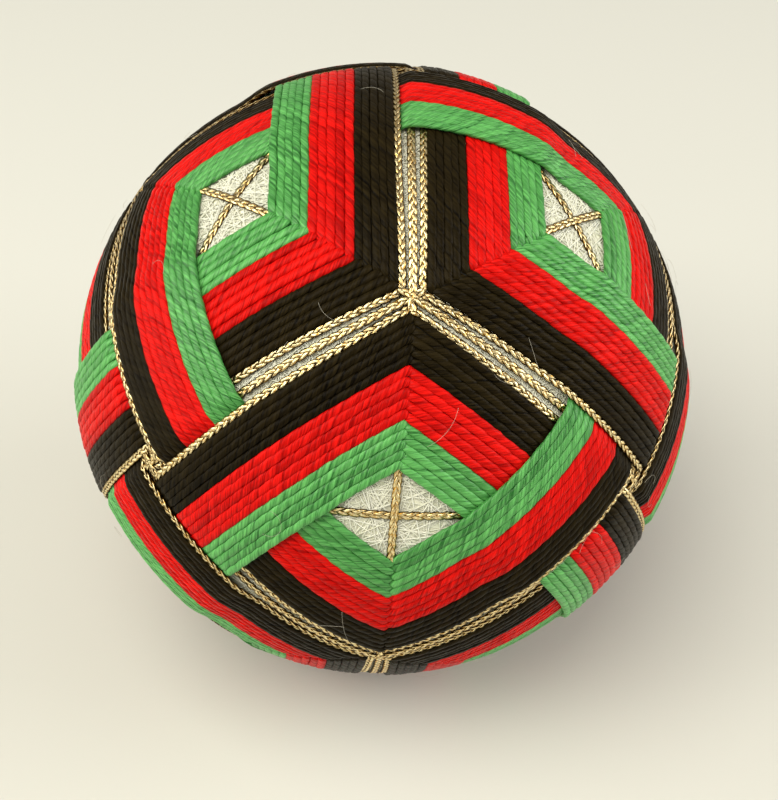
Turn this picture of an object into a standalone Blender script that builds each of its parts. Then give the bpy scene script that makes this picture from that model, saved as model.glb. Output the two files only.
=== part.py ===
# A temari ball: a thread-wound ball, marked out with gold thread and embroidered with
# eight interlaced triangles. Every triangle is four bands of thread, gold, black, red and
# green from outside to inside, and passes over and under its neighbours.
#
# The ball's own frame has its X, Y and Z axes through the six points where four triangles
# meet. A triangle is named by its centre, one of the eight directions (+-1, +-1, +-1). Its
# three sides pass the three nearest axis points, and its corners point at the three
# directions that differ from its own in one sign.
#
# Metres, Z up. The ball rests on a small flat spot, with the origin at its middle.

import itertools
from math import asin, atan, cos, pi, radians, sin, sqrt, tan

import bmesh
import bpy
from mathutils import Euler, Vector

# Sizes in metres
OUTER_RADIUS = 0.038
BAND_THICKNESS = 0.0004
CLEARANCE = 0.0003
MARKING_THICKNESS = 0.00035
MARKING_TOP_RADIUS = 0.03655
GROUND_RADIUS = 0.0358
FLAT_RADIUS = 0.00725

# How the ball is turned where it lies
BALL_TURN = Euler([radians(angle) for angle in (-17.3, -10.6, -41.6)])

# The two levels of a band, at its outer face: over a neighbour and under it
OVER_RADIUS = OUTER_RADIUS
UNDER_RADIUS = OVER_RADIUS - BAND_THICKNESS - CLEARANCE

# Edges of each colour in degrees from the line between a triangle's corners, outer edge
# first, at the corner and at the middle of a side, with the steps from the last crossing
# to the corner
BANDS = {
    "gold_edge": {"corner": (1.1, 2.0), "middle": (2.0, 2.9), "steps": 3},
    "black_band": {"corner": (2.45, 8.85), "middle": (3.35, 9.25), "steps": 3},
    "red_band": {"corner": (9.3, 16.25), "middle": (9.7, 16.55), "steps": 2},
    "green_band": {"corner": (16.7, 23.2), "middle": (17.0, 23.4), "steps": 2},
}

# Places along a side in degrees from its middle. A band goes over a neighbour before the
# middle and under the next one after it.
PLUNGE = 1.9
CROSSING_STEPS = (10.3, 18.3)
CROSSING_END = 26.5
RAMP_END = 31.5
HALF_SIDE = atan(sqrt(2))
CORNER_HALF_ANGLE = pi / 3

# Half the angle that a marking thread's width takes, and the steps between its junctions.
# A junction is where four, three or two triangles' lines meet: its direction has one, two
# or three coordinates that aren't zero, and eight, four or six arcs leave it.
MARKING_HALF_WIDTH = radians(0.5)
MARKING_STEP = radians(12.5)
ARCS_AT_A_JUNCTION = {1: 8, 2: 4, 3: 6}
ARC_LENGTHS = {(1, 2): pi / 4, (1, 3): atan(sqrt(2)), (2, 3): atan(1 / sqrt(2))}
MERGE_DISTANCE = 0.000001
ANGLE_TOLERANCE = radians(0.1)

GROUND_LEVELS_OF_DETAIL = 4
SHARP_EDGE = radians(40)

COLOURS = {
    "mari_ball": {"colour": (0.84, 0.80, 0.72), "roughness": 0.8, "metallic": 0.0},
    "marking_threads": {"colour": (0.72, 0.55, 0.28), "roughness": 0.35, "metallic": 0.8},
    "gold_edge": {"colour": (0.72, 0.55, 0.28), "roughness": 0.35, "metallic": 0.8},
    "black_band": {"colour": (0.012, 0.010, 0.008), "roughness": 0.55, "metallic": 0.0},
    "red_band": {"colour": (0.70, 0.015, 0.010), "roughness": 0.5, "metallic": 0.0},
    "green_band": {"colour": (0.06, 0.42, 0.12), "roughness": 0.5, "metallic": 0.0},
}

FLAT_COSINE = sqrt(1 - (FLAT_RADIUS / OUTER_RADIUS) ** 2)
CENTRE_HEIGHT = OUTER_RADIUS * FLAT_COSINE
DOWN = BALL_TURN.to_matrix().transposed() @ Vector((0, 0, -1))


def clear_scene():
    for obj in list(bpy.data.objects):
        bpy.data.objects.remove(obj, do_unlink=True)


def make_material(name, look):
    material = bpy.data.materials.new(name)
    material.use_nodes = True
    shader = material.node_tree.nodes["Principled BSDF"]
    shader.inputs["Base Color"].default_value = (*look["colour"], 1)
    shader.inputs["Roughness"].default_value = look["roughness"]
    shader.inputs["Metallic"].default_value = look["metallic"]
    return material


# The underside is pressed flat: each point there moves along its own radius onto a plane.
def press_flat(bm):
    for vert in bm.verts:
        cosine = vert.co.normalized().dot(DOWN)
        if cosine > FLAT_COSINE:
            vert.co *= FLAT_COSINE / cosine


# A sheet on the sphere gets its inner face and its edges.
def thicken(bm, thickness):
    grown = bmesh.ops.extrude_face_region(bm, geom=bm.faces[:], use_keep_orig=True)
    for item in grown["geom"]:
        if isinstance(item, bmesh.types.BMVert):
            item.co *= 1 - thickness / item.co.length
    bmesh.ops.recalc_face_normals(bm, faces=bm.faces[:])


def add_piece(name, bm, material, frame):
    press_flat(bm)
    mesh = bpy.data.meshes.new(name)
    bm.to_mesh(mesh)
    bm.free()
    mesh.shade_smooth()
    mesh.set_sharp_from_angle(angle=SHARP_EDGE)
    mesh.materials.append(material)
    piece = bpy.data.objects.new(name, mesh)
    bpy.context.collection.objects.link(piece)
    piece.parent = frame


# How far along a side its corner lies, for a thread laid at this offset
def corner_reach(offset):
    from_corner = asin(sin(offset) / sin(CORNER_HALF_ANGLE))
    return HALF_SIDE - atan(tan(from_corner) * cos(CORNER_HALF_ANGLE))


# Radius of a band's outer face along a side
def level_at(along):
    if -radians(CROSSING_END) - ANGLE_TOLERANCE < along < 0:
        return OVER_RADIUS
    return UNDER_RADIUS


# Places along one side, from just after one corner up to the next, as pairs: a fixed
# angle, and the share of the way on to the corner
def side_stations(steps):
    fixed = (PLUNGE, *CROSSING_STEPS, CROSSING_END, RAMP_END)
    shares = [step / steps for step in range(1, steps + 1)]
    after = [(radians(angle), 0) for angle in fixed]
    after += [(radians(RAMP_END), share) for share in shares]
    before = [(-angle, share) for angle, share in reversed(after[:-1])]
    return before + after


# A point on the sphere beside one side of a triangle. Along runs with the side's
# direction of travel and offset runs inwards to the triangle's centre.
def side_direction(centre, axis, along, offset):
    middle = Vector((0, 0, 0))
    middle[axis] = centre[axis]
    inwards = Vector(centre)
    inwards[axis] = 0
    inwards.normalize()
    travel = inwards.cross(middle)
    on_line = middle * cos(along) + travel * sin(along)
    return on_line * cos(offset) + inwards * sin(offset)


# One colour of one triangle, as a closed loop with three straight sides
def make_band(centre, band):
    bm = bmesh.new()
    handed = centre[0] * centre[1] * centre[2]
    rungs = []
    for axis in (0, 1, 2)[::handed]:
        for angle, share in side_stations(band["steps"]):
            rung = []
            for corner_offset, middle_offset in zip(band["corner"], band["middle"]):
                reach = corner_reach(radians(corner_offset))
                towards = reach if angle > 0 else -reach
                along = angle + share * (towards - angle)
                bow = 1 - (along / reach) ** 2
                offset = corner_offset + (middle_offset - corner_offset) * bow
                direction = side_direction(centre, axis, along, radians(offset))
                rung.append(bm.verts.new(direction * level_at(along)))
            rungs.append(rung)
    for rung, following in zip(rungs, rungs[1:] + rungs[:1]):
        bm.faces.new((rung[0], rung[1], following[1], following[0]))
    thicken(bm, BAND_THICKNESS)
    return bm


# The junctions of the marking threads: direction, and how many coordinates aren't zero
def marking_junctions():
    junctions = []
    for signs in itertools.product((-1, 0, 1), repeat=3):
        count = sum(abs(sign) for sign in signs)
        if count:
            junctions.append((Vector(signs).normalized(), count))
    return junctions


# The gold marking thread, laid round the ball along nine great circles and fused where
# they cross
def make_marking_threads():
    bm = bmesh.new()
    for (start, kind), (end, end_kind) in itertools.permutations(marking_junctions(), 2):
        length = ARC_LENGTHS.get((kind, end_kind))
        if length is None or start.angle(end) > length + ANGLE_TOLERANCE:
            continue
        normal = start.cross(end).normalized()
        forward = normal.cross(start)
        first = asin(tan(MARKING_HALF_WIDTH) / tan(pi / ARCS_AT_A_JUNCTION[kind]))
        last = length - asin(tan(MARKING_HALF_WIDTH) / tan(pi / ARCS_AT_A_JUNCTION[end_kind]))
        steps = round(length / MARKING_STEP)
        rungs = []
        for step in range(steps + 1):
            angle = first + (last - first) * step / steps
            on_line = start * cos(angle) + forward * sin(angle)
            sides = [
                on_line * cos(MARKING_HALF_WIDTH) + normal * sin(side * MARKING_HALF_WIDTH)
                for side in (-1, 1)
            ]
            rungs.append([bm.verts.new(side * MARKING_TOP_RADIUS) for side in sides])
        for rung, following in zip(rungs, rungs[1:]):
            bm.faces.new((rung[0], following[0], following[1], rung[1]))
    bmesh.ops.remove_doubles(bm, verts=bm.verts[:], dist=MERGE_DISTANCE)
    bmesh.ops.holes_fill(bm, edges=bm.edges[:], sides=max(ARCS_AT_A_JUNCTION.values()))
    thicken(bm, MARKING_THICKNESS)
    return bm


def make_ground():
    bm = bmesh.new()
    bmesh.ops.create_icosphere(
        bm, subdivisions=GROUND_LEVELS_OF_DETAIL, radius=GROUND_RADIUS
    )
    return bm


def main():
    clear_scene()
    frame = bpy.data.objects.new("ball_frame", None)
    bpy.context.collection.objects.link(frame)
    frame.location = (0, 0, CENTRE_HEIGHT)
    frame.rotation_euler = BALL_TURN
    materials = {name: make_material(name, look) for name, look in COLOURS.items()}
    add_piece("mari_ball", make_ground(), materials["mari_ball"], frame)
    add_piece("marking_threads", make_marking_threads(), materials["marking_threads"], frame)
    for number, centre in enumerate(itertools.product((1, -1), repeat=3), start=1):
        for name, band in BANDS.items():
            add_piece(f"{name}_{number}", make_band(centre, band), materials[name], frame)


main()
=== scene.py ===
import itertools
from math import asin, atan, cos, pi, radians, sin, sqrt, tan

import bmesh
import bpy
import numpy as np
from mathutils import Euler, Matrix, Vector


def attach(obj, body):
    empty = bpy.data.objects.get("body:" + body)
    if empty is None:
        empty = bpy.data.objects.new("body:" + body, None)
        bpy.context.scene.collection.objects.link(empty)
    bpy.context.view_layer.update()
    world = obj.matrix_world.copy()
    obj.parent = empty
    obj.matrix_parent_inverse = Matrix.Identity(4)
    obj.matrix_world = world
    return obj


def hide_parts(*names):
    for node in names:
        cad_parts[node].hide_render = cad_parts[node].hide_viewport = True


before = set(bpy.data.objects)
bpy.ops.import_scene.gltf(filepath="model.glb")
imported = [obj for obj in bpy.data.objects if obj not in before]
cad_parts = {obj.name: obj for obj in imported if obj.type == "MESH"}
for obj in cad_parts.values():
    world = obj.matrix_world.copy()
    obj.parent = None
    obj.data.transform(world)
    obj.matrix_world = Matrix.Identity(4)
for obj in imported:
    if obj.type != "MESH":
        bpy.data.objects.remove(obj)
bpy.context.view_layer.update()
print("frame loaded:", len(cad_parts), "nodes")

# The ball. Threads are laid in its own frame, whose axes go through the six points where
# four triangles meet, and then turned and put down on the flat spot.
ball = {
    "radius": 0.038,                  # to the top of the uppermost threads
    "flatRadius": 0.00725,            # of the spot that it rests on
    "turn": (-17.3, -10.6, -41.6),
    "softDepth": 0.0014,              # how deep the threads give way over the flat spot
}
flatCosine = sqrt(1 - (ball["flatRadius"] / ball["radius"]) ** 2)
centreHeight = ball["radius"] * flatCosine
ballTurn = Euler([radians(angle) for angle in ball["turn"]]).to_matrix().to_4x4()
placing = Matrix.Translation((0, 0, centreHeight)) @ ballTurn
triangleCentres = list(itertools.product((1, -1), repeat=3))
millimetres = 1000                    # in a metre


def addNode(tree, kind, inputs=None, **settings):
    node = tree.nodes.new(kind)
    for name, value in settings.items():
        setattr(node, name, value)
    for key, value in (inputs or {}).items():
        if isinstance(value, bpy.types.NodeSocket):
            tree.links.new(value, node.inputs[key])
        else:
            node.inputs[key].default_value = value
    return node


# An sRGB hex colour as the linear one that Blender's sockets take
def linear(colour):
    parts = [int(colour[at:at + 2], 16) / 255 for at in (1, 3, 5)]
    return [
        part / 12.92 if part <= 0.04045 else ((part + 0.055) / 1.055) ** 2.4 for part in parts
    ] + [1]


# Threads. Every thread is a path of points, each with its own width, height and turn, and
# one tree sweeps a section of one or two plies along all the paths of a piece.
def makeThreadTree():
    tree = bpy.data.node_groups.new("thread", "GeometryNodeTree")
    for name, kind, value in (
        ("Geometry", "NodeSocketGeometry", None),
        ("Sides", "NodeSocketInt", 8),
        ("Ply Radius", "NodeSocketFloat", 1.0),    # share of half the width, 1 for a single ply
        ("Squareness", "NodeSocketFloat", 0.0),    # how far the section fills its corners
        ("Material", "NodeSocketMaterial", None),
    ):
        socket = tree.interface.new_socket(name, in_out="INPUT", socket_type=kind)
        if value is not None:
            socket.default_value = value
    tree.interface.new_socket("Geometry", in_out="OUTPUT", socket_type="NodeSocketGeometry")
    given = addNode(tree, "NodeGroupInput").outputs
    place = addNode(tree, "GeometryNodeInputPosition").outputs[0]
    read = {
        name: addNode(
            tree, "GeometryNodeInputNamedAttribute", {"Name": name}, data_type=kind,
        ).outputs[0]
        for name, kind in (
            ("centre", "FLOAT_VECTOR"),
            ("across", "FLOAT_VECTOR"),
            ("halfWidth", "FLOAT"),
            ("halfHeight", "FLOAT"),
            ("turn", "FLOAT"),
        )
    }
    outwards = addNode(
        tree, "ShaderNodeVectorMath", {0: read["centre"]}, operation="NORMALIZE",
    ).outputs[0]

    # two plies side by side: how far out the section goes in each direction
    circle = addNode(
        tree, "GeometryNodeCurvePrimitiveCircle", {"Resolution": given["Sides"], "Radius": 1.0},
    )
    marked = addNode(
        tree, "GeometryNodeStoreNamedAttribute",
        {"Geometry": circle.outputs[0], "Name": "section", "Value": place},
        data_type="FLOAT_VECTOR",
    )
    sides = addNode(tree, "ShaderNodeSeparateXYZ", {0: place}).outputs
    plyRadius = given["Ply Radius"]
    apart = addNode(
        tree, "ShaderNodeMath", {0: 1.0, 1: plyRadius}, operation="SUBTRACT",
    ).outputs[0]
    wide = addNode(tree, "ShaderNodeMath", {0: sides["X"]}, operation="ABSOLUTE").outputs[0]
    low = addNode(
        tree, "ShaderNodeMath", {0: sides["Y"], 1: apart}, operation="MULTIPLY",
    ).outputs[0]
    lowSquare = addNode(
        tree, "ShaderNodeMath", {0: low, 1: low}, operation="MULTIPLY",
    ).outputs[0]
    plySquare = addNode(
        tree, "ShaderNodeMath", {0: plyRadius, 1: plyRadius}, operation="MULTIPLY",
    ).outputs[0]
    rest = addNode(
        tree, "ShaderNodeMath", {0: plySquare, 1: lowSquare}, operation="SUBTRACT",
    ).outputs[0]
    root = addNode(tree, "ShaderNodeMath", {0: rest}, operation="SQRT").outputs[0]
    reach = addNode(
        tree, "ShaderNodeMath", {0: wide, 1: apart, 2: root}, operation="MULTIPLY_ADD",
    ).outputs[0]
    plied = addNode(
        tree, "ShaderNodeVectorMath", {0: place, "Scale": reach}, operation="SCALE",
    ).outputs[0]
    section = addNode(
        tree, "GeometryNodeSetPosition", {"Geometry": marked.outputs[0], "Position": plied},
    )

    path = addNode(tree, "GeometryNodeMeshToCurve", {0: given["Geometry"]})
    upright = addNode(
        tree, "GeometryNodeSetCurveNormal", {0: path.outputs[0], "Normal": outwards}, mode="FREE",
    )
    turned = addNode(
        tree, "GeometryNodeSetCurveTilt", {0: upright.outputs[0], "Tilt": read["turn"]},
    )
    swept = addNode(
        tree, "GeometryNodeCurveToMesh",
        {"Curve": turned.outputs[0], "Profile Curve": section.outputs[0], "Fill Caps": True},
    )

    # the section as it was swept, pressed to the thread's own width and height
    offset = addNode(
        tree, "ShaderNodeVectorMath", {0: place, 1: read["centre"]}, operation="SUBTRACT",
    ).outputs[0]
    pressed = []
    for direction, size in (
        (read["across"], read["halfWidth"]), (outwards, read["halfHeight"]),
    ):
        share = addNode(
            tree, "ShaderNodeVectorMath", {0: offset, 1: direction}, operation="DOT_PRODUCT",
        ).outputs["Value"]
        square = addNode(
            tree, "ShaderNodeMath", {0: share, 1: share}, operation="MULTIPLY",
        ).outputs[0]
        excess = addNode(
            tree, "ShaderNodeMath", {0: 1.0, 1: square}, operation="SUBTRACT",
        ).outputs[0]
        fuller = addNode(
            tree, "ShaderNodeMath", {0: excess, 1: given["Squareness"], 2: 1.0},
            operation="MULTIPLY_ADD",
        ).outputs[0]
        share = addNode(
            tree, "ShaderNodeMath", {0: share, 1: fuller}, operation="MULTIPLY",
        ).outputs[0]
        length = addNode(
            tree, "ShaderNodeMath", {0: share, 1: size}, operation="MULTIPLY",
        ).outputs[0]
        pressed.append(addNode(
            tree, "ShaderNodeVectorMath", {0: direction, "Scale": length}, operation="SCALE",
        ).outputs[0])
    moved = addNode(
        tree, "ShaderNodeVectorMath", {0: pressed[0], 1: pressed[1]}, operation="ADD",
    ).outputs[0]
    laid = addNode(
        tree, "ShaderNodeVectorMath", {0: read["centre"], 1: moved}, operation="ADD",
    ).outputs[0]
    shaped = addNode(
        tree, "GeometryNodeSetPosition", {"Geometry": swept.outputs[0], "Position": laid},
    )
    smooth = addNode(tree, "GeometryNodeSetShadeSmooth", {0: shaped.outputs[0]})
    real = addNode(tree, "GeometryNodeRealizeInstances", {0: smooth.outputs[0]})
    finished = addNode(
        tree, "GeometryNodeSetMaterial", {0: real.outputs[0], "Material": given["Material"]},
    )
    addNode(tree, "NodeGroupOutput", {0: finished.outputs[0]})
    return tree


threadTree = makeThreadTree()


# One thread: the path of its middle, with what the tree and the material read along it.
# Turn is in radians, along in millimetres, and shade moves the whole thread's tone.
def makeStrand(centre, halfWidth, halfHeight, turn=0.0, shade=0.0):
    travel = np.gradient(centre, axis=0)
    across = np.cross(centre, travel)
    across /= np.linalg.norm(across, axis=1)[:, None]
    steps = np.linalg.norm(np.diff(centre, axis=0), axis=1)
    count = len(centre)
    return {
        "centre": centre,
        "across": across,
        "halfWidth": np.broadcast_to(halfWidth, count),
        "halfHeight": np.broadcast_to(halfHeight, count),
        "turn": np.broadcast_to(turn, count),
        "along": np.concatenate([[0], np.cumsum(steps)]) * millimetres,
        "shade": np.full(count, shade),
    }


# The mesh is turned into place, and gives way where the ball rests.
def layOnFlatSpot(mesh):
    leastCosine = 0.1                 # keeps the division safe beside and above the middle
    mesh.transform(placing)
    places = np.empty(len(mesh.vertices) * 3)
    mesh.vertices.foreach_get("co", places)
    places = places.reshape(-1, 3)
    middle = np.array((0, 0, centreHeight))
    offset = places - middle
    reach = np.linalg.norm(offset, axis=1)
    downwards = np.maximum(-offset[:, 2] / reach, leastCosine)
    push = np.maximum(ball["radius"] - centreHeight / downwards, 0)
    share = np.clip(1 - (ball["radius"] - reach) / ball["softDepth"], 0, None)
    places = middle + offset * ((reach - push * share) / reach)[:, None]
    places[:, 2] = np.maximum(places[:, 2], 0)
    mesh.vertices.foreach_set("co", places.ravel())
    mesh.update()


def addPiece(name, mesh, nodes):
    layOnFlatSpot(mesh)
    piece = bpy.data.objects.new(name, mesh)
    bpy.context.collection.objects.link(piece)
    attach(piece, "root")
    if nodes:
        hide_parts(*nodes)
    return piece


# All the threads of one piece, swept and made a plain mesh
def sweepThreads(name, strands, material, nodes, sides, plyRadius=1.0, squareness=0.0):
    counts = np.array([len(strand["centre"]) for strand in strands])
    starts = np.concatenate([[0], np.cumsum(counts)[:-1]])
    first = np.concatenate([
        np.arange(start, start + count - 1) for start, count in zip(starts, counts)
    ])
    paths = bpy.data.meshes.new(name)
    paths.vertices.add(int(counts.sum()))
    paths.edges.add(len(first))
    paths.edges.foreach_set("vertices", np.stack([first, first + 1], axis=1).ravel())
    for key in strands[0]:
        values = np.concatenate([strand[key] for strand in strands]).astype(np.float32)
        if key == "centre":
            paths.vertices.foreach_set("co", values.ravel())
        kind, field = ("FLOAT_VECTOR", "vector") if values.ndim == 2 else ("FLOAT", "value")
        layer = paths.attributes.new(key, kind, "POINT")
        layer.data.foreach_set(field, values.ravel())
    guide = bpy.data.objects.new(name + "_paths", paths)
    bpy.context.collection.objects.link(guide)
    modifier = guide.modifiers.new("thread", "NODES")
    modifier.node_group = threadTree
    for socket, value in (
        ("Sides", sides),
        ("Ply Radius", plyRadius),
        ("Squareness", squareness),
        ("Material", material),
    ):
        modifier[threadTree.interface.items_tree[socket].identifier] = value
    graph = bpy.context.evaluated_depsgraph_get()
    mesh = bpy.data.meshes.new_from_object(guide.evaluated_get(graph))
    mesh.name = name
    bpy.data.objects.remove(guide)    # and its modifier with it
    for spare in ("centre", "across", "halfWidth", "halfHeight", "turn"):
        mesh.attributes.remove(mesh.attributes[spare])
    return addPiece(name, mesh, nodes)


# Spun cotton. Its fibres run along each ply, so the tone is streaked along the thread, and
# the fibres' ends stand off as a fine fuzz. A cotton fibre is 0.015 mm wide, too fine to
# show, so streaks and fuzz are drawn about ten times as coarse.
spunFibres = {
    "detail": 3.0,                    # octaves of the streaks
    "fuzzScale": 7000.0,              # specks 0.14 mm across
    "fuzzDetail": 1.0,
    "creaseRise": 0.8,                # relief of a ply over the crease, against 1 for the streaks
    "fuzzRise": 0.5,                  # and of the fuzz
}


def cottonMaterial(name, look):
    material = bpy.data.materials.new(name)
    material.use_nodes = True
    tree = material.node_tree
    shader = tree.nodes["Principled BSDF"]
    section = addNode(tree, "ShaderNodeAttribute", attribute_name="section").outputs["Vector"]
    along = addNode(tree, "ShaderNodeAttribute", attribute_name="along").outputs["Fac"]
    shade = addNode(tree, "ShaderNodeAttribute", attribute_name="shade").outputs["Fac"]
    place = addNode(tree, "ShaderNodeTexCoord").outputs["Object"]
    split = addNode(tree, "ShaderNodeSeparateXYZ", {0: section}).outputs
    # a noise that is short across the thread and long along it
    thread = addNode(
        tree, "ShaderNodeCombineXYZ", {0: split["X"], 1: split["Y"], 2: along},
    ).outputs[0]
    stretched = addNode(
        tree, "ShaderNodeMapping", {"Vector": thread, "Scale": look["fibreScale"]},
    ).outputs[0]
    fibres = addNode(
        tree, "ShaderNodeTexNoise",
        {"Vector": stretched, "Scale": 1.0, "Detail": spunFibres["detail"]},
    ).outputs["Fac"]
    fuzz = addNode(
        tree, "ShaderNodeTexNoise",
        {"Vector": place, "Scale": spunFibres["fuzzScale"], "Detail": spunFibres["fuzzDetail"]},
    ).outputs["Fac"]
    # the crease between the plies, which is given a darker tone: painted shade
    fromCrease = addNode(
        tree, "ShaderNodeMath", {0: split["X"]}, operation="ABSOLUTE",
    ).outputs[0]
    opened = addNode(
        tree, "ShaderNodeMapRange",
        {"Value": fromCrease, "From Min": 0.0, "From Max": look["creaseWidth"],
         "To Min": 0.0, "To Max": 1.0},
        interpolation_type="SMOOTHSTEP",
    ).outputs[0]
    streaks = addNode(
        tree, "ShaderNodeMath", {0: fibres, 1: look["streaks"], 2: shade},
        operation="MULTIPLY_ADD",
    ).outputs[0]
    lit = addNode(
        tree, "ShaderNodeMath", {0: opened, 1: look["crease"], 2: streaks},
        operation="MULTIPLY_ADD",
    ).outputs[0]
    ramp = addNode(tree, "ShaderNodeValToRGB", {"Fac": lit})
    elements = ramp.color_ramp.elements
    elements[0].position, elements[1].position = look["tones"]
    elements[0].color, elements[1].color = linear(look["deep"]), linear(look["bright"])
    tree.links.new(ramp.outputs[0], shader.inputs["Base Color"])
    plyHeight = addNode(
        tree, "ShaderNodeMath", {0: opened, 1: spunFibres["creaseRise"], 2: fibres},
        operation="MULTIPLY_ADD",
    ).outputs[0]
    height = addNode(
        tree, "ShaderNodeMath", {0: fuzz, 1: spunFibres["fuzzRise"], 2: plyHeight},
        operation="MULTIPLY_ADD",
    ).outputs[0]
    bump = addNode(
        tree, "ShaderNodeBump",
        {"Height": height, "Strength": look["bump"], "Distance": look["relief"]},
    )
    tree.links.new(bump.outputs[0], shader.inputs["Normal"])
    shader.inputs["Roughness"].default_value = look["roughness"]
    shader.inputs["Specular IOR Level"].default_value = look["specular"]
    shader.inputs["Sheen Weight"].default_value = look["sheen"]
    shader.inputs["Sheen Roughness"].default_value = look["sheenRoughness"]
    shader.inputs["Sheen Tint"].default_value = linear(look["sheenTint"])
    return material


# One plain matt tone, for the floor and for what is thin or nearly covered
def plainMaterial(name, colour, roughness):
    material = bpy.data.materials.new(name)
    material.use_nodes = True
    shader = material.node_tree.nodes["Principled BSDF"]
    shader.inputs["Base Color"].default_value = linear(colour)
    shader.inputs["Roughness"].default_value = roughness
    return material


# The eight triangles. Angles are on the ball: from the line between a triangle's corners,
# or along a side from its middle. Each has one row of gold and then three bands of cotton.
triangle = {
    "plunge": (-0.2, 2.4),            # where the way down from over to under begins and ends
    "rise": (32.0, 24.8),             # where the way up begins and ends before the middle
    "buried": (6.0, 21.0),            # stretch after the middle that a neighbour covers
    "drop": 0.00062,                  # between the two levels
    "bands": {
        "gold": {"corner": (0.8, 2.2), "middle": (1.7, 3.1)},
        "black": {"corner": (2.2, 9.1), "middle": (3.1, 9.5), "rows": 5},
        "red": {"corner": (9.1, 16.5), "middle": (9.5, 16.8), "rows": 5},
        "green": {"corner": (16.5, 23.3), "middle": (16.8, 23.4), "rows": 5},
    },
}

# Where a row ends at a corner, it narrows and dives into the ball.
tip = {
    "liftLength": 0.002,              # before the end, where the row on top begins to rise
    "narrowLength": 0.0009,           # before the end, where a row begins to narrow
    "leastShare": 0.06,               # of its size squared, which is left at the very end
}

# Size 5 pearl cotton, two plies turned round each other
cotton = {
    "halfHeight": 0.00031,
    "crowding": 1.1,                  # width of a row in its share of the band
    "turnLength": 0.0038,             # a full turn of the two plies
    "turnUneven": 0.04,               # how much that differs from row to row
    "plyRadius": 0.85,
    "squareness": 0.35,
    "sides": 8,
    "step": 0.00055,
    "buriedStep": 0.0016,
    "tipSteps": (0.0, 0.00008, 0.0002, 0.0004, 0.0007),
    "overlap": (0.0007, 0.0002),      # past the bisector of a corner, on top and below
    "overlapUneven": 0.0001,
    "tipDrop": (0.0003, 0.0004),      # of the last stretch into the ball, on top and below
    "tipLength": (0.0008, 0.0013),
    "lift": 0.00005,                  # of the row on top, over the one below
    "levelUneven": 0.00002,
    "outgoingOnTop": [(1, -1, -1)],   # elsewhere the side that comes into a corner is on top
    "wander": 0.06,                   # of a row beside its true line
    "waves": (3, 6),                  # how often a side's rows sway together, in a radian
    "rowShade": 0.05,                 # how much rows differ in tone
    "seed": 5,
}


def smoothStep(values):
    values = np.clip(values, 0, 1)
    return values * values * (3 - 2 * values)


# The division is done by hand, so junctions lie a little off their true places: this many
# millimetres along the ball's axes, which fade out around each junction.
uneven = {
    "spread": 24.0,
    "elsewhere": 0.3,                 # millimetres, at the junctions that aren't listed
    "seed": 12,
    "pulls": {
        (-1, -1, 1): (-0.6, 0.7, 0.1),
        (0, -1, 0): (0.6, 0.0, -0.46),
        (0, -1, 1): (-0.55, 0.5, 0.5),
        (0, 0, 1): (-0.95, 1.9, 0.0),
        (1, -1, -1): (-0.5, 0.5, -1.0),
        (1, -1, 0): (-0.25, -0.25, -0.1),
        (1, -1, 1): (0.45, 0.2, -0.25),
        (1, 0, 0): (0.0, 0.5, -0.7),
        (1, 0, 1): (-0.35, 0.05, 0.37),
    },
}
draw = np.random.default_rng(uneven["seed"])
junctionPulls = []
for signs in itertools.product((-1, 0, 1), repeat=3):
    if any(signs):
        pull = uneven["pulls"].get(signs, uneven["elsewhere"] * draw.normal(size=3))
        junction = np.array(signs) / np.linalg.norm(signs)
        junctionPulls.append((junction, np.array(pull) / millimetres))


def asSewn(places):
    reach = np.linalg.norm(places, axis=1)[:, None]
    direction = places / reach
    moved = direction.copy()
    for junction, pull in junctionPulls:
        apart = np.degrees(np.arccos(np.clip(direction @ junction, -1, 1)))
        moved += np.exp(-(apart / uneven["spread"]) ** 2)[:, None] * pull / ball["radius"]
    return moved / np.linalg.norm(moved, axis=1)[:, None] * reach


# Middle of a side, its direction of travel, and the way in to the triangle's centre
def sideFrame(centre, axis):
    middle = np.zeros(3)
    middle[axis] = centre[axis]
    inwards = np.array(centre, float)
    inwards[axis] = 0
    inwards /= np.linalg.norm(inwards)
    return middle, np.cross(inwards, middle), inwards


# How far along a side its corner lies, for a thread laid at this offset, both in radians.
# A corner's half is pi / 3, and half a side of the bare triangle is atan(sqrt(2)).
def cornerReach(offset):
    fromCorner = asin(sin(offset) / sin(pi / 3))
    return atan(sqrt(2)) - atan(tan(fromCorner) / 2)


# 1 where a side goes over its neighbour, 0 where it goes under, with slopes between
def levelShare(along):
    begin, end = triangle["rise"]
    up = smoothStep((along + radians(begin)) / radians(begin - end))
    first, last = triangle["plunge"]
    down = smoothStep((along - radians(first)) / radians(last - first))
    return up * (1 - down)


# One row of one side: the middle of its thread, and how far each point is from both ends.
# Ends are how far it runs on past its corners, and wave is how far it sways and how often.
def sidePath(centre, axis, corner, middle, thread, ends, wave):
    radius = ball["radius"]
    reach = cornerReach(radians(corner))
    begin = -reach - ends[0] / radius
    end = reach + ends[1] / radius
    step, buriedStep = thread["step"] / radius, thread["buriedStep"] / radius
    tips = np.array(thread["tipSteps"]) / radius
    buried = [radians(angle) for angle in triangle["buried"]]
    along = np.concatenate([
        begin + tips,
        np.arange(begin + tips[-1] + step, buried[0], step),
        np.arange(buried[0], buried[1], buriedStep),
        np.arange(buried[1], end - tips[-1] - step / 2, step),
        (end - tips)[::-1],
    ])
    bow = 1 - (along / reach) ** 2
    offset = radians(corner) + radians(middle - corner) * bow
    offset = offset + radians(wave[0]) * np.sin(along * wave[1])
    middleWay, travel, inwards = sideFrame(centre, axis)
    onLine = middleWay * np.cos(along)[:, None] + travel * np.sin(along)[:, None]
    direction = onLine * np.cos(offset)[:, None] + inwards * np.sin(offset)[:, None]
    return along, asSewn(direction), (along - begin) * radius, (end - along) * radius


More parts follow.
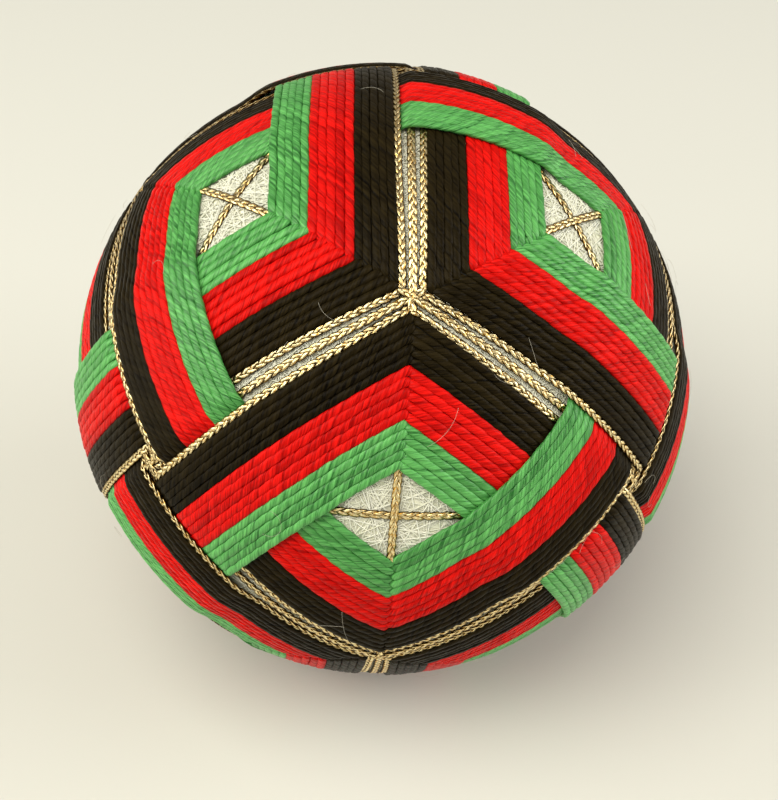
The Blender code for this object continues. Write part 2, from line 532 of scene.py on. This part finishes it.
# Both ends of a row dive into the ball at the bisector of a corner, one on top of the other.
def tipShape(distance, onTop, thread):
    which = 0 if onTop else 1
    length = thread["tipLength"][which]
    near = np.clip(1 - distance / length, 0, 1)
    lift = thread["lift"] * smoothStep(1 - distance / tip["liftLength"]) if onTop else 0
    narrowing = np.clip(1 - distance / tip["narrowLength"], 0, 1)
    size = np.sqrt(np.clip(1 - narrowing ** 2, tip["leastShare"], 1))
    return lift - thread["tipDrop"][which] * near ** 2, size


def bandRows(centre, band, thread, draw):
    strands = []
    outgoingOnTop = centre in thread["outgoingOnTop"]
    edges = (band["corner"], band["middle"])
    for axis in range(3):
        wave = (thread["wander"] * draw.normal(), draw.uniform(*thread["waves"]))
        for row in range(band["rows"]):
            corner, middle = (
                outer + (inner - outer) * (row + 0.5) / band["rows"] for outer, inner in edges
            )
            corner += thread["wander"] * draw.normal()
            middle += thread["wander"] * draw.normal()
            onTop = (outgoingOnTop, not outgoingOnTop)
            ends = [
                thread["overlap"][0 if top else 1] + thread["overlapUneven"] * draw.normal()
                for top in onTop
            ]
            along, direction, fromStart, toEnd = sidePath(
                centre, axis, corner, middle, thread, ends, wave,
            )
            startShift, startSize = tipShape(fromStart, onTop[0], thread)
            endShift, endSize = tipShape(toEnd, onTop[1], thread)
            pitches = [radians(inner - outer) / band["rows"] for outer, inner in edges]
            bow = np.clip(1 - (along / along[-1]) ** 2, 0, 1)
            width = ball["radius"] * (pitches[0] + (pitches[1] - pitches[0]) * bow)
            halfWidth = width / 2 * thread["crowding"]
            height = (
                ball["radius"] - thread["halfHeight"] - triangle["drop"] * (1 - levelShare(along))
                + startShift + endShift + thread["levelUneven"] * draw.normal()
            )
            size = startSize * endSize
            turnLength = thread["turnLength"] * (1 + thread["turnUneven"] * draw.normal())
            turn = draw.uniform(0, 2 * pi) - 2 * pi * fromStart / turnLength
            strands.append(makeStrand(
                direction * height[:, None], halfWidth * size, thread["halfHeight"] * size, turn,
                thread["rowShade"] * draw.normal(),
            ))
    return strands


# A sheet under a band's rows, which stands for their lower fibres pressed together between them.
# Its dark tone is painted shade.
bed = {
    "depth": 0.0003,                  # of its top under the rows' top
    "thickness": 0.0002,
    "inset": 0.35,                    # of a row, from the band's edges
    "steps": 60,                      # along a side
    "roughness": 0.9,
}


def addBeds(colour, material):
    band = triangle["bands"][colour]
    places, faces = [], []
    inset = {
        edge: (band[edge][1] - band[edge][0]) / band["rows"] * bed["inset"]
        for edge in ("corner", "middle")
    }
    for centre in triangleCentres:
        handed = centre[0] * centre[1] * centre[2]
        start = len(places)
        for axis in (0, 1, 2)[::handed]:
            middleWay, travel, inwards = sideFrame(centre, axis)
            for share in np.linspace(-1, 1, bed["steps"] + 1)[:-1]:
                for side, height in ((0, 0), (1, 0), (1, 1), (0, 1)):
                    sign = 1 - 2 * side
                    corner = radians(band["corner"][side] + sign * inset["corner"])
                    middle = radians(band["middle"][side] + sign * inset["middle"])
                    reach = cornerReach(corner)
                    along = share * reach
                    offset = corner + (middle - corner) * (1 - share ** 2)
                    onLine = middleWay * cos(along) + travel * sin(along)
                    direction = onLine * cos(offset) + inwards * sin(offset)
                    drop = triangle["drop"] * (1 - float(levelShare(along)))
                    level = ball["radius"] - bed["depth"] - drop
                    places.append(direction * (level - height * bed["thickness"]))
        count = len(places) - start
        for rung in range(0, count, 4):
            for corner in range(4):
                here, beside = start + rung + corner, start + rung + (corner + 1) % 4
                following = start + (rung + 4) % count
                faces.append((here, following + corner, following + (corner + 1) % 4, beside))
    mesh = bpy.data.meshes.new(colour + "_bed")
    mesh.from_pydata(asSewn(np.array(places)), [], faces)
    mesh.shade_smooth()
    mesh.materials.append(material)
    addPiece(colour + "_bed", mesh, [])


# Pearl cotton is spun tight, swollen smooth in lye and then dyed. That gives the eye a
# silky gleam along each ply and full colour. The crease is drawn in a deeper tone: painted shade.
# Across, the fibres' scale counts in half widths of the thread, 0.45 mm, and along it in
# millimetres, so streaks are 0.16 mm wide and 2 mm long.
pearlCotton = {
    "tones": (0.5, 1.02),             # where the ramp from deep to bright begins and ends
    # the crease's deeper tone is painted shade
    "crease": 0.12,                   # how much lighter a ply's back is than the crease
    "creaseWidth": 0.5,
    "streaks": 1.3,
    "fibreScale": (2.8, 2.8, 0.5),
    "bump": 0.7,
    "relief": 0.00006,
    "sheenRoughness": 0.4,
}
# The green gleams most, and the deep red and black hardly at all.
# Between is the tone of the beds under the rows, darker than the cotton: painted shade.
threadLooks = {
    "green": {
        "deep": "#1E6220", "bright": "#68BA60", "between": "#174F16",
        "roughness": 0.4, "specular": 0.35, "sheen": 0.22, "sheenTint": "#7FE78A",
    },
    "red": {
        "deep": "#960302", "bright": "#EC1811", "between": "#780202",
        "roughness": 0.4, "specular": 0.06, "sheen": 0.05, "sheenTint": "#FF2018",
    },
    "black": {
        "deep": "#080502", "bright": "#28200E", "between": "#050402",
        "roughness": 0.36, "specular": 0.04, "sheen": 0.005, "sheenTint": "#B7A890",
    },
}
draw = np.random.default_rng(cotton["seed"])
for colour, look in threadLooks.items():
    material = cottonMaterial(colour + " pearl cotton", {**pearlCotton, **look})
    for number, centre in enumerate(triangleCentres, start=1):
        strands = bandRows(centre, triangle["bands"][colour], cotton, draw)
        piece = sweepThreads(
            f"{colour}_rows_{number}", strands, material,
            [f"{colour}_band_{number}"], cotton["sides"], cotton["plyRadius"],
            cotton["squareness"],
        )
    # the same cotton where it is pressed together, as a dark, matt line whose darkness is painted
    # shade
    paintedShadeName = colour + " cotton between the rows"
    addBeds(colour, plainMaterial(paintedShadeName, look["between"], bed["roughness"]))
    print(colour, "rows laid", len(piece.data.polygons))

# Gold metallic thread: a flat braid of three strands
gold = {
    "halfHeight": 0.0002,
    "strands": 3,
    "braidLength": 0.0033,            # for each strand to come back to its side
    "braidWidth": 0.00025,
    "braidHeight": 0.00009,
    "strandHalfWidth": 0.00034,
    "strandHalfHeight": 0.0001,
    "sides": 4,
    "sectionTurn": pi / 4,            # radians, so that a flat side of the section is on top
    "step": 0.00036,
    "buriedStep": 0.0016,
    "tipSteps": (0.0, 0.00015, 0.00035),
    "overlap": (0.00025, 0.0002),
    "tipDrop": (0.00025, 0.0004),
    "tipLength": (0.0006, 0.0009),
    "lift": 0.0001,
    "topBelowCotton": 0.0002,         # metallic thread is thinner than the cotton beside it
    "cornerWander": 0.08,
    "middleWander": 0.1,
    "waves": 4,
    "seed": 9,
}


# The strands swing from side to side and pass over each other, a third of a turn apart.
def braid(centre, size, draw):
    path = makeStrand(centre, 1, 1)
    outwards = centre / np.linalg.norm(centre, axis=1)[:, None]
    phase = 2 * pi * path["along"] / millimetres / gold["braidLength"] + draw.uniform(0, 2 * pi)
    strands = []
    for number in range(gold["strands"]):
        angle = phase + number * 2 * pi / gold["strands"]
        aside = gold["braidWidth"] * np.sin(angle) * size
        up = gold["braidHeight"] * np.sin(2 * angle) * size
        places = centre + path["across"] * aside[:, None] + outwards * up[:, None]
        strands.append(makeStrand(
            places, gold["strandHalfWidth"] * size, gold["strandHalfHeight"] * size,
            gold["sectionTurn"], draw.normal(),
        ))
    return strands


def goldEdge(centre, draw):
    strands = []
    band = triangle["bands"]["gold"]
    for axis in range(3):
        corner = sum(band["corner"]) / 2 + gold["cornerWander"] * draw.normal()
        middle = sum(band["middle"]) / 2 + gold["middleWander"] * draw.normal()
        wave = (gold["cornerWander"] * draw.normal(), gold["waves"])
        along, direction, fromStart, toEnd = sidePath(
            centre, axis, corner, middle, gold, gold["overlap"][::-1], wave,
        )
        startShift, startSize = tipShape(fromStart, False, gold)
        endShift, endSize = tipShape(toEnd, True, gold)
        height = (
            ball["radius"] - gold["halfHeight"] - gold["topBelowCotton"]
            - triangle["drop"] * (1 - levelShare(along)) + startShift + endShift
        )
        strands += braid(direction * height[:, None], startSize * endSize, draw)
    return strands


# Metallic braid: flat foil, cut narrow and plaited. Each strand of it flashes where it lies open
# to the light and is brown and dull where it dives under the next. Here a noise paints pale
# flashes and dull brown spots into the metal's colour, painted glints beside its real
# reflection, and the strands' edges are darkened as painted shade.
foil = {
    # deep, middle and bright spot the metal's colour with dull brown and pale flashes: painted
    # glints
    "deep": "#3A2508",
    "middle": "#C8963A",
    "bright": "#FFEDB8",
    "tones": (0.12, 0.30, 0.54),
    "scale": 2.6,                     # creases 0.4 mm apart along a strand
    "detail": 2.0,
    # the dark edge of a strand is painted shade where strands meet
    "edgePower": 4.0,                 # how narrow the dark edge of a strand is
    "strandEdgeShade": -0.55,
    "bump": 0.8,
    "relief": 0.0001,
    "roughness": 0.3,
}


def goldMaterial():
    material = bpy.data.materials.new("gold metallic braid")
    material.use_nodes = True
    tree = material.node_tree
    shader = tree.nodes["Principled BSDF"]
    section = addNode(tree, "ShaderNodeAttribute", attribute_name="section").outputs["Vector"]
    along = addNode(tree, "ShaderNodeAttribute", attribute_name="along").outputs["Fac"]
    split = addNode(tree, "ShaderNodeSeparateXYZ", {0: section}).outputs
    place = addNode(
        tree, "ShaderNodeCombineXYZ", {0: split["X"], 1: split["Y"], 2: along},
    ).outputs[0]
    creases = addNode(
        tree, "ShaderNodeTexNoise",
        {"Vector": place, "Scale": foil["scale"], "Detail": foil["detail"]},
    ).outputs["Fac"]
    # the top of a strand lies between two corners of its section: painted shade where strands
    # meet
    aside = addNode(
        tree, "ShaderNodeMath", {0: split["X"], 1: split["Y"]}, operation="ADD",
    ).outputs[0]
    edge = addNode(
        tree, "ShaderNodeMath", {0: aside, 1: foil["edgePower"]}, operation="POWER",
    ).outputs[0]
    lit = addNode(
        tree, "ShaderNodeMath", {0: edge, 1: foil["strandEdgeShade"], 2: creases},
        operation="MULTIPLY_ADD",
    ).outputs[0]
    ramp = addNode(tree, "ShaderNodeValToRGB", {"Fac": lit})
    elements = ramp.color_ramp.elements
    elements[0].position, elements[0].color = foil["tones"][0], linear(foil["deep"])
    elements[1].position, elements[1].color = foil["tones"][2], linear(foil["bright"])
    middle = elements.new(foil["tones"][1])
    middle.color = linear(foil["middle"])
    tree.links.new(ramp.outputs[0], shader.inputs["Base Color"])
    bump = addNode(
        tree, "ShaderNodeBump",
        {"Height": lit, "Strength": foil["bump"], "Distance": foil["relief"]},
    )
    tree.links.new(bump.outputs[0], shader.inputs["Normal"])
    shader.inputs["Metallic"].default_value = 1.0
    shader.inputs["Roughness"].default_value = foil["roughness"]
    return material


goldThread = goldMaterial()
draw = np.random.default_rng(gold["seed"])
for number, centre in enumerate(triangleCentres, start=1):
    piece = sweepThreads(
        f"gold_rows_{number}", goldEdge(centre, draw), goldThread,
        [f"gold_edge_{number}"], gold["sides"],
    )
print("gold edges laid", len(piece.data.polygons))


# Where a point of the ball is under a band of a triangle, and not within these margins of
# the band's outer and inner edge
def underBands(places, outerMargin, innerMargin):
    direction = places / np.linalg.norm(places, axis=1)[:, None]
    hidden = np.zeros(len(places), bool)
    black, green = triangle["bands"]["black"], triangle["bands"]["green"]
    reach = cornerReach(radians(black["corner"][0]))
    for centre in triangleCentres:
        depth, outer = np.full(len(places), 90.0), np.zeros(len(places))
        for axis in range(3):
            middleWay, travel, inwards = sideFrame(centre, axis)
            offset = np.degrees(np.arcsin(direction @ inwards))
            along = np.arctan2(direction @ travel, direction @ middleWay)
            bow = np.clip(1 - (along / reach) ** 2, 0, 1)
            edge = black["corner"][0] + (black["middle"][0] - black["corner"][0]) * bow
            outer = np.where(offset < depth, edge, outer)
            depth = np.minimum(offset, depth)
        hidden |= (depth > outer + outerMargin) & (depth < green["corner"][1] - innerMargin)
    return hidden


# The stretches of a closed round of places that no band covers
def openStretches(places, margins):
    hidden = underBands(places, *margins)
    if not hidden.any():
        return [places]
    first = int(np.flatnonzero(hidden)[0])
    places, hidden = np.roll(places, -first, axis=0), np.roll(hidden, -first)
    edges = np.flatnonzero(np.diff(np.concatenate([[1], hidden.astype(int), [1]])))
    return [
        places[max(begin - 1, 0):end + 1]
        for begin, end in zip(edges[::2], edges[1::2]) if end - begin > 1
    ]


# A closed round about a normal. Height is its distance from the great circle, in radii.
def roundOf(normal, height, radius, count):
    anyWay = (0.31, 0.87, -0.38)      # along none of the normals
    normal = np.array(normal, float) / np.linalg.norm(normal)
    side = np.cross(normal, anyWay)
    side /= np.linalg.norm(side)
    ahead = np.cross(normal, side)
    angles = np.linspace(0, 2 * pi, count, endpoint=False)[:, None]
    flat = sqrt(1 - height ** 2)
    return radius * (height * normal + flat * (np.cos(angles) * side + np.sin(angles) * ahead))


# Marking threads along nine great circles, in the same gold thread as the edges
marking = {
    "radius": 0.03685,
    "rise": 0.0002,                   # of the six slanting circles over the other three
    "stack": {1: 0.0006, 3: 0.00015},  # how high they pile up where four and three of them cross
    "stackSpread": 3.5,
    "margins": (-0.6, 0.5),           # short of a band's outer edge, and on under its inner edge
    "steps": 600,
    "leastPoints": 4,                 # of a stretch
    "seed": 21,
}
normals = [
    normal for normal in itertools.product((-1, 0, 1), repeat=3)
    if 0 < sum(map(abs, normal)) < 3 and normal > (0, 0, 0)
]
draw = np.random.default_rng(marking["seed"])
strands = []
for normal in normals:
    radius = marking["radius"] + (marking["rise"] if sum(map(abs, normal)) == 2 else 0)
    circle = roundOf(normal, 0.0, radius, marking["steps"])
    for stretch in openStretches(circle, marking["margins"]):
        if len(stretch) >= marking["leastPoints"]:
            direction = stretch / np.linalg.norm(stretch, axis=1)[:, None]
            pile = np.zeros(len(stretch))
            for signs in itertools.product((-1, 0, 1), repeat=3):
                height = marking["stack"].get(sum(map(abs, signs)))
                if height:
                    cosine = np.clip(direction @ signs / np.linalg.norm(signs), -1, 1)
                    apart = np.degrees(np.arccos(cosine))
                    pile += height * np.exp(-(apart / marking["stackSpread"]) ** 2)
            strands += braid(asSewn(stretch + direction * pile[:, None]), 1.0, draw)
piece = sweepThreads(
    "marking_rounds", strands, goldThread, ["marking_threads"], gold["sides"],
)
print("marking threads laid", len(piece.data.polygons))

# The ball's own winding, in sewing thread
winding = {
    "radius": 0.0366,
    "layers": 0.00022,                # from the first round to the last
    "rounds": 850,
    "halfWidth": 0.0001,
    "halfHeight": 0.00004,
    "offCentre": 0.3,                 # of the radius, at most
    "margins": (1.0, 1.0),            # on under a band, at both of its edges
    "steps": 90,
    "leastPoints": 3,                 # of a stretch
    "sides": 3,
    "shade": 0.1,                     # how much rounds differ in tone
    "seed": 3,
}
# Spun sewing thread, undyed and matt: cream white with soft grey hollows, and hairy enough
# to glow at its edges. It is one ply here, because the real one's twist is too fine to show.
whiteLook = {
    "deep": "#DEDDC2",
    "bright": "#F6F5E6",
    "tones": (0.2, 0.8),
    "crease": 0.0,
    "creaseWidth": 0.4,
    "streaks": 1.0,
    "fibreScale": (2.0, 2.0, 1.5),
    "bump": 0.3,
    "relief": 0.00004,
    "roughness": 0.7,
    "specular": 0.5,
    "sheen": 0.4,
    "sheenRoughness": 0.5,
    "sheenTint": "#FFFFFF",
}
draw = np.random.default_rng(winding["seed"])
strands = []
for number in range(winding["rounds"]):
    radius = winding["radius"] + winding["layers"] * number / winding["rounds"]
    height = draw.uniform(-winding["offCentre"], winding["offCentre"])
    places = roundOf(draw.normal(size=3), height, radius, winding["steps"])
    for stretch in openStretches(places, winding["margins"]):
        if len(stretch) >= winding["leastPoints"]:
            strands.append(makeStrand(
                stretch, winding["halfWidth"], winding["halfHeight"], 0.0,
                winding["shade"] * draw.normal(),
            ))
whiteThread = cottonMaterial("cream sewing thread", whiteLook)
piece = sweepThreads(
    "wound_thread", strands, whiteThread, [], winding["sides"],
)
print("winding laid", len(piece.data.polygons))

# The rounds below, which show only as a matt cream ground between the upper ones
inner = {"detail": 5, "colour": "#EFEED7", "roughness": 0.8}
innerMesh = bpy.data.meshes.new("wound_ball")
bm = bmesh.new()
bmesh.ops.create_icosphere(bm, subdivisions=inner["detail"], radius=winding["radius"])
bm.to_mesh(innerMesh)
bm.free()
innerMesh.shade_smooth()
innerMesh.materials.append(
    plainMaterial("cream winding", inner["colour"], inner["roughness"])
)
addPiece("wound_ball", innerMesh, ["mari_ball"])

# A few fibres that have come loose and lie over the bands. A loose cotton fibre is matt and
# pale, and half as wide as it is drawn here.
stray = {
    "count": 70,
    "length": (0.0015, 0.006),
    "thickness": 0.000016,
    "points": 16,
    "lift": 0.00006,                  # of both ends over the ball
    "arch": 0.00012,                  # of the middle over the ends
    "curl": 500.0,                    # change of direction in radians a metre
    "sides": 3,
    "colour": "#B9B3A2",
    "roughness": 0.6,
    "seed": 8,
}
draw = np.random.default_rng(stray["seed"])
strands = []
last = stray["points"] - 1
for number in range(stray["count"]):
    place = draw.normal(size=3)
    place /= np.linalg.norm(place)
    ahead = np.cross(place, draw.normal(size=3))
    ahead /= np.linalg.norm(ahead)
    length = draw.uniform(*stray["length"])
    bend = stray["curl"] * draw.normal()
    places = []
    for step in range(stray["points"]):
        height = stray["lift"] + stray["arch"] * sin(pi * step / last)
        places.append(place * (ball["radius"] + height))
        place = place + ahead * length / last / ball["radius"]
        place /= np.linalg.norm(place)
        ahead = ahead + np.cross(place, ahead) * bend * length / last
        ahead -= place * (ahead @ place)
        ahead /= np.linalg.norm(ahead)
    strands.append(makeStrand(np.array(places), stray["thickness"], stray["thickness"]))
fibreMaterial = plainMaterial("loose fibre", stray["colour"], stray["roughness"])
sweepThreads("stray_fibres", strands, fibreMaterial, [], stray["sides"])
print("loose fibres laid")

# Floor: matt painted board, which takes soft shadows and gives no reflection
board = {"halfSide": 3, "colour": "#D2D1C8", "roughness": 0.8}
floorCorners = [
    (x * board["halfSide"], y * board["halfSide"], 0)
    for x, y in ((-1, -1), (1, -1), (1, 1), (-1, 1))
]
floorMesh = bpy.data.meshes.new("floor")
floorMesh.from_pydata(floorCorners, [], [(0, 1, 2, 3)])
floorMesh.materials.append(
    plainMaterial("plain pale floor", board["colour"], board["roughness"])
)
floor = bpy.data.objects.new("floor", floorMesh)
bpy.context.collection.objects.link(floor)

# Soft studio light: one large lamp above and one at each side
lights = {
    "above": {
        "place": (-0.16, -0.2, 0.6), "size": 0.44, "spread": 120, "power": 1.45,
        "colour": "#FFFCF0",
    },
    "left": {
        "place": (-0.7, -0.06, 0.36), "size": 0.55, "spread": 180, "power": 3.6,
        "colour": "#FFFFF8",
    },
    "right": {
        "place": (0.74, -0.02, 0.36), "size": 0.55, "spread": 180, "power": 4.3,
        "colour": "#FFFFFF",
    },
}
lightsAim = Vector((0, 0, 0.03))
for name, light in lights.items():
    data = bpy.data.lights.new(name, "AREA")
    data.size = light["size"]
    data.spread = radians(light["spread"])
    data.energy = light["power"]
    data.color = linear(light["colour"])[:3]
    lamp = bpy.data.objects.new(name, data)
    lamp.location = light["place"]
    lamp.rotation_euler = (Vector(light["place"]) - lightsAim).to_track_quat("Z", "Y").to_euler()
    bpy.context.collection.objects.link(lamp)
room = {"colour": "#FFFBF2", "strength": 0.38}
world = bpy.data.worlds.new("room")
world.use_nodes = True
background = world.node_tree.nodes["Background"].inputs
background["Color"].default_value = linear(room["colour"])
background["Strength"].default_value = room["strength"]
bpy.context.scene.world = world

view = {
    "elevation": 43.0,
    "distance": 4.8266,               # in radii of the ball
    "lens": 43.73,                    # millimetres, as the film's height
    "filmHeight": 24.0,
    "shift": (0.0092, -0.036),
    "clipStart": 0.01,
}
camera = bpy.data.objects.new("camera", bpy.data.cameras.new("camera"))
elevation = radians(view["elevation"])
away = view["distance"] * ball["radius"]
camera.location = (0, -away * cos(elevation), centreHeight + away * sin(elevation))
camera.rotation_euler = (pi / 2 - elevation, 0, 0)
camera.data.sensor_fit = "VERTICAL"
camera.data.sensor_height = view["filmHeight"]
camera.data.lens = view["lens"]
camera.data.shift_x, camera.data.shift_y = view["shift"]
camera.data.clip_start = view["clipStart"]
bpy.context.collection.objects.link(camera)
bpy.context.scene.camera = camera
# the filmic transform would wash out the cotton's strong red and green
bpy.context.scene.view_settings.view_transform = "Standard"
